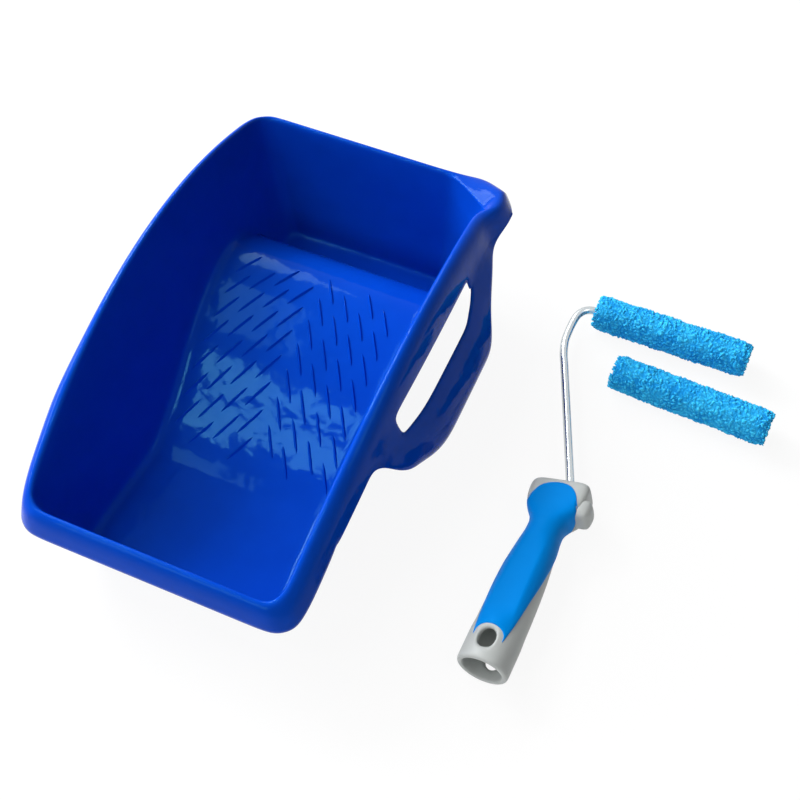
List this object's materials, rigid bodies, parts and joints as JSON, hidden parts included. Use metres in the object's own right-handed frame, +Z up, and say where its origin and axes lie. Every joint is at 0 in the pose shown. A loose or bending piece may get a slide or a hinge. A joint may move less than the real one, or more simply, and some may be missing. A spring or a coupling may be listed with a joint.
{
  "type": "paint roller tray set",
  "caption": "Hand-held paint tray with ribbed ramp and side grip handle, with a mini roller frame, its sleeve and a spare sleeve beside it.",
  "frame": {"origin": "middle of the footprint of the whole set, on the floor", "axes": "+X from the tray towards the roller, +Y from the tray's low near rim to its pouring end, +Z up"},
  "size_m": [0.439, 0.3586, 0.1305],
  "materials": {
    "tray_plastic": "glossy, moulded",
    "zinc_steel": "bright zinc plate",
    "grey_plastic": "fine texture",
    "grip_rubber": "satin",
    "cage_plastic": "satin",
    "core_plastic": "satin",
    "pile_fabric": "tufted pile"
  },
  "bodies": {
    "tray": {"tray": "tray_plastic"},
    "roller_frame": {"frame_rod": "zinc_steel", "handle_core": "grey_plastic", "handle_grip": "grip_rubber", "stop_collar": "zinc_steel", "retainer": "zinc_steel"},
    "cage": {"roller_cage": "cage_plastic", "cage_cap": "cage_plastic"},
    "sleeve": {"sleeve_core": "core_plastic", "sleeve_pile": "pile_fabric"},
    "spare_sleeve": {"spare_core": "core_plastic", "spare_pile": "pile_fabric"}
  },
  "joints": [
    {"name": "roller_lift", "type": "slide", "parent": "tray", "child": "roller_frame", "axis": [0, 0, 1], "range_m": [0, 0.3]},
    {"name": "cage_spin", "type": "hinge", "parent": "roller_frame", "child": "cage", "pos_m": [0.07667, 0.166, 0.0133], "axis": [1, 0, 0], "continuous": true},
    {"name": "sleeve_pull", "type": "slide", "parent": "cage", "child": "sleeve", "axis": [1, 0, 0], "range_m": [0, 0.13]},
    {"name": "spare_lift", "type": "slide", "parent": "tray", "child": "spare_sleeve", "axis": [0, 0, 1], "range_m": [0, 0.3]}
  ]
}
